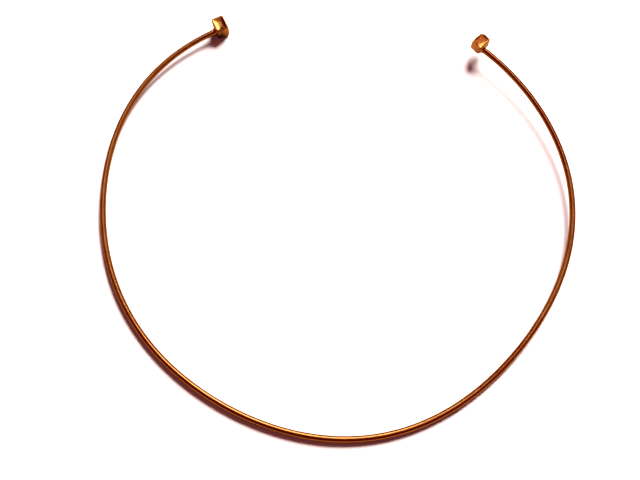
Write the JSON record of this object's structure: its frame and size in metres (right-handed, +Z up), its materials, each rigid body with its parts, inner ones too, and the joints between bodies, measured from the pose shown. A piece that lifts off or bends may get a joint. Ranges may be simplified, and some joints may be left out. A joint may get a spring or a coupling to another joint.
{
  "type": "torc",
  "caption": "Open neck ring of plain round gold rod bent into a hoop, with a small cube-like block closing each end.",
  "frame": {"origin": "centre of the base of the outer box, on the plane the torc lies on", "axes": "+Z up out of that plane, +X along the hoop's widest extent, +Y towards the mouth between the end blocks"},
  "size_m": [0.1436, 0.136, 0.0071],
  "materials": {
    "gold_rod": "polished gold with fine wear",
    "gold_terminals": "polished gold with fine wear"
  },
  "bodies": {
    "root": {"hoop": "gold_rod", "terminal_left": "gold_terminals", "terminal_right": "gold_terminals"}
  },
  "joints": []
}
